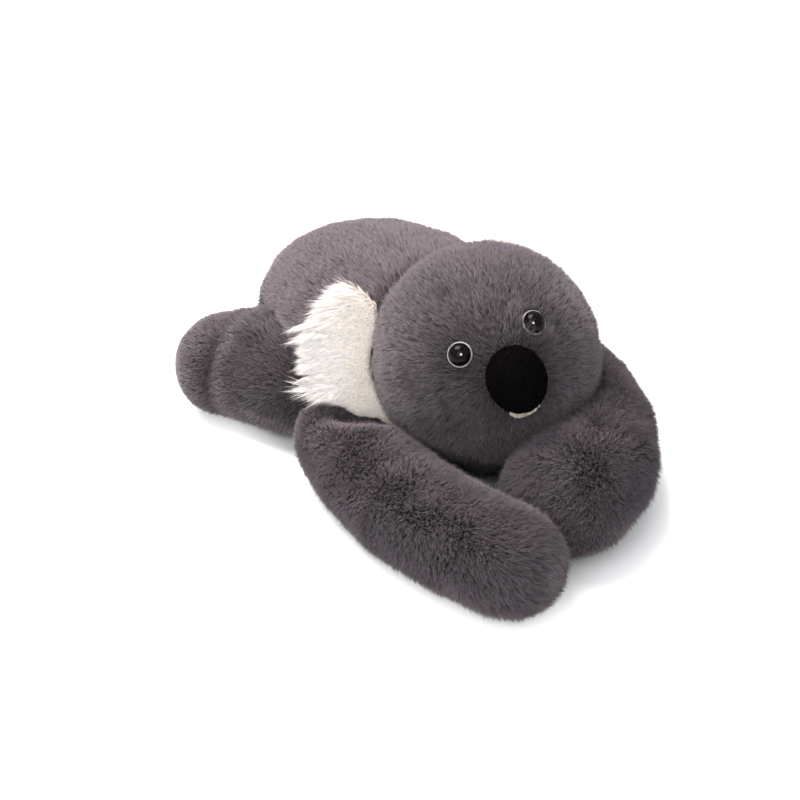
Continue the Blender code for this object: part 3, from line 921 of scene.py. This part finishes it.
def head_tone(roots):
    """Darker toward the chin, as painted shade under the head."""
    return HEAD_TONE - CHIN_PAINTED_SHADE * (1.0 - between(roots[:, 2], 0.035, 0.085))


def head_waves(roots):
    """Smooth pile on the face, and wavier pile toward the back of the head."""
    return FACE_WAVES + NAPE_WAVES * between(np.linalg.norm(roots - NOSE_ROOT, axis=1), 0.05, 0.12)


def head_gather(roots):
    """How far the wisps' tips meet, more where the pile is wavier."""
    return 0.6 * head_waves(roots) + 0.10


def off_eye(roots, normals):
    """All of the head's pile but what would grow behind the left eye."""
    return np.where(from_eye(roots, "left") < EYE_HOLE, 0.0, 1.0)


COATS["head"] = {
    **GREY,
    "length": head_length,
    "lean": 0.55,
    "comb": from_nose,
    "tone": head_tone,
    "keep": off_eye,
    "waves": head_waves,
    "gather": head_gather,
}
print("coats", list(COATS))

# %% [markdown]
# A crease round the ankle marks off the foot. On the real toy a row of stitches draws the
# fabric in there. The solid has the crease, and the pile is short in its groove, with a painted
# highlight on its lip and painted shade in the groove, and all of it runs out at the top of the
# leg. Past the crease the foot is painted paler, as painted light.

# %% The coats of the legs
LEG_PILE = 0.0080
FOOT_CUT = 0.0020
GROOVE_CUT = 0.0015
LEG_TONE = -0.12
FOOT_PAINTED_LIGHT = 0.50
LIP_PAINTED_LIGHT = 0.50
GROOVE_PAINTED_SHADE = 0.30
ANKLE = np.array((0.117, 0.158))
ANKLE_TURN = radians(18.5)


def past_ankle(side):
    """How far each root lies beyond the ankle's crease."""
    way = np.array((side * sin(ANKLE_TURN), cos(ANKLE_TURN)))
    return lambda roots: (roots[:, :2] - ANKLE * (side, 1.0)) @ way


def leg_coat(side, line):
    """A leg's coat: short in the crease, which runs out at the top, and paler on its lip as painted light.
    """
    past = past_ankle(side)

    def low(roots):
        return 1.0 - between(roots[:, 2], 0.066, 0.088)

    def length(roots):
        far = past(roots)
        groove = between(far, -0.003, 0.001) * (1.0 - between(far, 0.002, 0.010))
        return LEG_PILE - FOOT_CUT * between(far, -0.002, 0.006) - GROOVE_CUT * groove * low(roots)

    def tone(roots):
        far = past(roots)
        lip = between(far, -0.016, -0.005) * (1.0 - between(far, -0.003, 0.0))
        groove = between(far, -0.002, 0.001) * (1.0 - between(far, 0.002, 0.009))
        # Painted highlight on the crease's lip, and painted shade in its groove.
        crease = (LIP_PAINTED_LIGHT * lip - GROOVE_PAINTED_SHADE * groove) * low(roots)
        # Painted light: the foot past the crease is paler.
        return LEG_TONE + FOOT_PAINTED_LIGHT * between(far, 0.004, 0.016) + crease

    return {**GREY, "length": length, "tone": tone, "comb": down_limb(line)}


COATS["leg_right"] = leg_coat(-1.0, mirrored(LEG_LINE))
COATS["leg_left"] = leg_coat(1.0, LEG_LINE)
print("coats", list(COATS))

# %% [markdown]
# The pile parts round the nose and the right eye. It grows a little over the edge of the left
# one, so there only the roots behind the eye are left out.

# %% Grow the grey pile
face_parts = [nodes["nose_cover"].data, nodes["mouth_patch"].data]
face_parts += [nodes[name].data for name in ("eye_rim_right", "eye_right")]
ear_parts = [nodes[f"ear_{layer}_{side}"].data for layer in ("front", "back") for side in ("right", "left")]

for order, title in enumerate(STUFFED):
    others = [skin.data for other, skin in skins.items() if other != title]
    if title == "head":
        others += face_parts + ear_parts
    grow(
        f"{title}_pile",
        skins[title].data,
        title,
        grey_pile,
        COATS[title],
        seed=order + 1,
        neighbours=tree_of(others),
    )

# %% [markdown]
# Each ear is two layers of cloth, white in front and grey behind. Both come from their packed
# pieces with a finer remesh than the body's, because they are thin. Each ear also gets three
# directions of its own, read from where its two layers lie, and all its rules use those.

# %% The ears' cloth
EAR_VOXEL = 0.0016
EAR_GROWTH = -0.0002
EAR_ROOTS = {"right": (-0.07232, 0.01523, 0.11604), "left": (0.07532, -0.03769, 0.16370)}
EAR_DOWN = {"right": (-0.2477, -0.2537, -0.9350), "left": (0.4964, -0.5204, -0.6948)}
EAR_REACH = 0.057


def clean_skin(name, node, voxel, growth, ground, slot, body):
    """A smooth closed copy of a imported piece, which then stands for it."""
    skin, points = rounded_copy(name, node, voxel, growth)
    cover_with(skin, points, ground)
    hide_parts(node)
    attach(skin, body)
    return skin


def ear_frame(side):
    """An ear's root and its three directions: outward, down and the way its front faces."""
    front, rear = (middle(f"ear_{layer}_{side}") for layer in ("front", "back"))
    root = np.array(EAR_ROOTS[side])
    down = np.array(EAR_DOWN[side])
    out = np.cross(down, np.array(front - rear))
    out *= np.sign(out @ (np.array(front) - root))
    out = unit(out[None])[0]
    facing = np.cross(out, down)
    facing *= np.sign(facing @ np.array(front - rear))
    return root, out, down, facing


ear_skins = {}
for side in ("right", "left"):
    body = f"ear_{side}"
    for layer, ground, slot in (("front", ground_white, "white_pile"), ("back", ground_grey, "grey_pile")):
        node = f"ear_{layer}_{side}"
        skin = clean_skin(f"{node}_skin", node, EAR_VOXEL, EAR_GROWTH, ground, slot, body)
        ear_skins[node] = skin.data
        print(node, len(skin.data.vertices), "points")

# %% [markdown]
# The lower lobe of the right ear hangs down into the hollow of the shoulder. Cloth could be
# dropped there by a simulation, but the pile hides the cloth, so its vertices are simply
# drawn down, and pushed forward wherever the arm would be in their way.

# %% Hang the right ear's lobe
LOBE_TOP = 0.015
LOBE_LOW = 0.033
LOBE_DROP = 0.023
LOBE_SHIFT = 0.012
LOBE_EDGE = (0.020, 0.038)
LOBE_LIFT = 0.0050
LOOK_FROM = 0.10


def hang_lobe(meshes, side, below):
    """Draw the ear's lower lobe down into the shoulder's hollow, and keep it off the arm."""
    root, out, down, facing = ear_frame(side)
    clouds = [read(mesh.vertices, "co", 3) - root for mesh in meshes]
    rear = min((cloud @ facing).min() for cloud in clouds)
    for mesh, cloud in zip(meshes, clouds):
        low = cloud @ down
        share = 1.0 - between(cloud @ out, *LOBE_EDGE)
        drop = LOBE_DROP * ((low - LOBE_TOP) / (LOBE_LOW - LOBE_TOP)).clip(0.0, 1.25) * share
        cloud += down * drop[:, None] - out * (LOBE_SHIFT * drop / LOBE_DROP)[:, None]
        lifts = np.zeros(len(cloud))
        for i in np.flatnonzero(low > 0.0):
            flat = cloud[i] - facing * (cloud[i] @ facing) + root
            start = Vector(flat + facing * LOOK_FROM)
            hit = below.ray_cast(start, Vector(-facing), LOOK_FROM - rear + LOBE_LIFT)
            if hit[0] is not None:
                lifts[i] = max(0.0, (np.array(hit[0]) - root) @ facing + LOBE_LIFT - rear)
        cloud += facing * lifts[:, None]
        move_points(mesh, cloud + root)
        print(mesh.name, "lobe drawn down", round(drop.max(), 4), "and lifted", round(lifts.max(), 4))


lobe = [ear_skins["ear_front_right"], ear_skins["ear_back_right"]]
hang_lobe(lobe, "right", tree_of([skins["arm_right"].data]))

# %% [markdown]
# The white pile is the longest on the toy. It is short and smooth by the head, lies almost
# flat, runs out from the ear's root, and hangs over the free edge as a fringe. Two tufts
# reach farther than the rest, a notch parts the fringe, and the crest's pile stands up.

# %% The ears' pile
EAR_PILE = 0.0045
FRINGE_MORE = 0.0085
TUFT_MORE = 0.0080
CREST_MORE = 0.0036
NOTCH_CUT = 0.45
HIGH_TUFT = 0.4
CREST_RISE = 0.45


def ear_coat(side, facing, out, white):
    """How the pile lies on one layer of an ear: short and smooth by the head, then a fringe."""
    root = np.array(EAR_ROOTS[side])
    down = np.array(EAR_DOWN[side])

    def outward(roots):
        return (roots - root) @ out / EAR_REACH

    def drop(roots):
        return (roots - root) @ down / EAR_REACH

    def comb(roots, normals):
        height = drop(roots)[:, None]
        rise = CREST_RISE * between(-height, 0.45, 0.85)
        fan = 0.12 + np.where(height > 0.0, 0.20, -0.12) * height - rise
        return out + down * fan - facing * 0.10

    def keep(roots, normals):
        return np.where(normals @ facing > (-0.1 if white else -0.35), 1.0, 0.0)

    def fringe(roots):
        upper = between(-drop(roots), 0.55, 0.90)
        return np.maximum(between(outward(roots), 0.35, 0.90), upper * between(outward(roots), 0.1, 0.4))

    def right_front_length(roots):
        low_tuft = between(drop(roots), 0.45, 0.65) * between(outward(roots), 0.30, 0.55)
        high = between(-drop(roots), 0.10, 0.40) * (1.0 - between(-drop(roots), 0.75, 0.95))
        tufts = low_tuft + HIGH_TUFT * high * between(outward(roots), 0.25, 0.55)
        notch = 1.0 - between(np.abs(drop(roots) - 0.40), 0.03, 0.10)
        crest = between(-drop(roots), 0.50, 0.75) * between(outward(roots), 0.0, 0.2)
        cut = 1.0 - NOTCH_CUT * notch * fringe(roots)
        return (EAR_PILE + FRINGE_MORE * fringe(roots) + TUFT_MORE * tufts) * cut + CREST_MORE * crest

    def length(roots):
        if not white:
            return 0.006 + 0.003 * fringe(roots)
        if side == "left":
            return 0.0050 + 0.0020 * fringe(roots)
        return right_front_length(roots)

    def toward_edge(least, most, start, stop):
        return lambda roots: least + most * between(outward(roots), start, stop)

    return {
        "density": 4.2e6 if white else 1.6e6,
        "width": 0.00044 if white else 0.00062,
        "length": length,
        "lean": 2.8,
        "comb": comb,
        "keep": keep,
        "wild": toward_edge(0.03, 0.20, 0.4, 0.8),
        "waves": toward_edge(0.03, 0.50, 0.45, 0.9),
        "gather": toward_edge(0.05, 0.45, 0.4, 0.8),
        "spacing": 0.0048,
        "stray": toward_edge(0.0, 0.7 if white else 0.0, 0.4, 0.8),
        "fall": np.array((0.0, 0.0, -0.30)),
        "long": 0.45,
        "clear": 0.0036 if white else CLEAR,
        "shade": 0.0 if white else 0.40,
        # The tone is lower toward the ear's root: partly the cloth's own cream, partly painted shade by the
        # head.
        "tone": toward_edge(-0.30, 0.55, 0.15, 0.6),
    }


ear_rests = tree_of([skins[title].data for title in ("trunk", "head", "arm_right", "arm_left")])
for order, side in enumerate(("right", "left")):
    _, out, _, facing = ear_frame(side)
    for layer, way, white in (("front", facing, True), ("back", -facing, False)):
        node = f"ear_{layer}_{side}"
        grow(
            f"{node}_pile",
            ear_skins[node],
            f"ear_{side}",
            white_pile if white else grey_pile,
            ear_coat(side, way, out, white),
            seed=20 + 2 * order + white,
            neighbours=ear_rests,
        )

# %% [markdown]
# The nose is an egg in black velvet, whose pile is about a millimetre high. It takes almost
# no shine, only a faint light edge. The small patch under it is off-white felt.

# %% The nose and the mouth
black_velvet = pile_material(
    "black_velvet",
    [(0.0, (0.0010, 0.0008, 0.0010)), (1.0, (0.0026, 0.0020, 0.0027))],
    [(0.0, (0.0014, 0.0011, 0.0014)), (1.0, (0.0040, 0.0031, 0.0042))],
    sheen=0.01,
    rough=0.95,
    gloss=0.0,
)
off_white_felt = pile_material(
    "off_white_felt",
    [(0.0, (0.66, 0.58, 0.50)), (1.0, (0.84, 0.78, 0.70))],
    [(0.0, (0.74, 0.66, 0.58)), (1.0, (0.92, 0.88, 0.82))],
    sheen=0.1,
    rough=0.8,
)
ground_black = cloth_material("ground_black", (0.0012, 0.0010, 0.0012), (0.0026, 0.0022, 0.0027), 0.0)
ground_cream = cloth_material("ground_cream", (0.48, 0.41, 0.33), (0.66, 0.58, 0.48), 0.1)

NOSE_VOXEL = 0.0016
NOSE_GROWTH = 0.0012
MOUTH_VOXEL = 0.0010
SHORT_PILE = {"density": 2.6e6, "width": 0.0004, "lean": 0.3}

velvet = (ground_black, "black_velvet", "head")
nose = clean_skin("nose_skin", "nose_filling", NOSE_VOXEL, NOSE_GROWTH, *velvet)
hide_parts("nose_cover")
felt = (ground_cream, "off_white_felt", "head")
mouth = clean_skin("mouth_skin", "mouth_patch", MOUTH_VOXEL, 0.0, *felt)


def off_head(roots, normals):
    """Away from the head's centre."""
    return roots - np.array(HEAD_CENTRE)


grow(
    "nose_pile",
    nose.data,
    "head",
    black_velvet,
    {**SHORT_PILE, "length": 0.0013, "comb": off_head, "wild": 0.02},
    seed=31,
    neighbours=tree_of([skins["head"].data]),
)
grow(
    "mouth_pile",
    mouth.data,
    "head",
    off_white_felt,
    {**SHORT_PILE, "length": 0.0016, "comb": off_head, "wild": 0.1},
    seed=32,
    neighbours=tree_of([skins["head"].data, nose.data]),
)
print("triangles of pile", sum(pile_triangles.values()))

# %% [markdown]
# The eyes are polished black plastic, and each sits in a thin ring of pale satin plastic. Real
# mouldings are never quite even, so soft noise varies the black's gloss and the pale tints.

# %% The eyes' finishes
EYE_MOTTLE = 160.0
RING_MOTTLE = 220.0


def eye_black():
    """Polished black plastic with a trace of brown, and fine unevenness in its gloss."""
    made, tree, shader = new_finish("eye_black", rough=0.04, gloss=0.08)
    tints = [(0.3, (0.0006, 0.0004, 0.0004)), (0.7, (0.0014, 0.0009, 0.0008))]
    _, cloud = mottle(tree, shader, EYE_MOTTLE, tints)
    gloss = add_node(tree, "MapRange", {"Value": cloud, "To Min": 0.02, "To Max": 0.06})
    feed(tree, shader, {"Roughness": gloss.outputs[0]})
    return made


def pale_plastic(name, low, high):
    """Satin moulded plastic with a soft mottle."""
    made, tree, shader = new_finish(name, rough=0.45)
    mottle(tree, shader, RING_MOTTLE, [(0.35, low), (0.65, high)])
    return made


gloss_black = eye_black()
ring_pale = pale_plastic("ring_pale", (0.30, 0.29, 0.285), (0.46, 0.445, 0.44))
washer_white = pale_plastic("washer_white", (0.68, 0.68, 0.66), (0.78, 0.78, 0.76))
print("eye finishes", gloss_black.name, ring_pale.name, washer_white.name)

# %% [markdown]
# The dome, its flange and its shank are one moulding, and the ring is another. Both are
# turned shapes, so a short outline spun round the eye's own axis makes each. The solids have
# twenty flat sides, and a gloss shows every one, so these are spun in many more steps.

# %% The eyes
EYE_RADIUS = 0.0088
EYE_DOME = 0.0072
FLANGE = 0.0010
SHANK_RADIUS = 0.0024
SHANK_LENGTH = 0.0130
EDGE = 0.0002
RING_GAP = 0.0003
RING_RADIUS = 0.0099
RING_BEVEL = 0.0004
RING_BOTTOM = -0.0024
TURNED_STEPS = 64
DOME_STEPS = 14
MERGE_DISTANCE = 0.00001


def spin(name, outline, place, material, node):
    """A closed shape: an outline of radii and heights, turned round a frame's Z."""
    count = len(outline)
    points = []
    for step in range(TURNED_STEPS):
        angle = 2 * pi * step / TURNED_STEPS
        points += [place @ Vector((r * cos(angle), r * sin(angle), z)) for r, z in outline]
    faces = []
    for step in range(TURNED_STEPS):
        here, there = step * count, (step + 1) % TURNED_STEPS * count
        for i in range(count):
            j = (i + 1) % count
            faces.append((here + i, there + i, there + j, here + j))
    mesh = new_mesh(name, points, faces)
    shape = bmesh.new()
    shape.from_mesh(mesh)
    bmesh.ops.remove_doubles(shape, verts=shape.verts, dist=MERGE_DISTANCE)
    bmesh.ops.recalc_face_normals(shape, faces=shape.faces)
    shape.to_mesh(mesh)
    shape.free()
    mesh.shade_smooth()
    mesh.materials.append(material)
    piece = add_piece(name, mesh)
    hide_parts(node)
    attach(piece, "head")
    return piece


def dome_outline():
    """The dome from its crown, then the flange, and the shank down to its end on the axis."""
    arc = [pi / 2 * i / DOME_STEPS for i in range(DOME_STEPS + 1)]
    outline = [(EYE_RADIUS * sin(a), EYE_DOME * cos(a)) for a in arc]
    outline += [(EYE_RADIUS, EDGE - FLANGE), (EYE_RADIUS - EDGE, -FLANGE), (SHANK_RADIUS, -FLANGE)]
    outline += [(SHANK_RADIUS, EDGE - SHANK_LENGTH), (0.0021, -SHANK_LENGTH), (0.0, -SHANK_LENGTH)]
    return outline


def ring_outline():
    """The ring's section: a bevelled top that slopes out a little, and a flat bottom."""
    inner = EYE_RADIUS + RING_GAP
    top = [(inner, 0.0), (inner + RING_BEVEL, 0.0004), (RING_RADIUS - RING_BEVEL, 0.0001)]
    return top + [(RING_RADIUS, -0.0006), (RING_RADIUS, RING_BOTTOM), (inner, RING_BOTTOM)]


eyes_only = bpy.data.collections.new("eyes_only")
lamp_glint.light_linking.receiver_collection = eyes_only
for side, crown in eye_places.items():
    out = (crown - HEAD_CENTRE).normalized()
    turn = out.to_track_quat("Z", "Y").to_matrix().to_4x4()
    place = Matrix.Translation(crown - out * EYE_DOME) @ turn
    dome = spin(f"eye_dome_{side}", dome_outline(), place, gloss_black, f"eye_{side}")
    eyes_only.objects.link(dome)
    spin(f"eye_ring_{side}", ring_outline(), place, ring_pale, f"eye_rim_{side}")
    washer = nodes[f"eye_washer_{side}"]
    washer.data.materials.clear()
    washer.data.materials.append(washer_white)
    print("eye", side, "at", [round(x, 4) for x in crown])
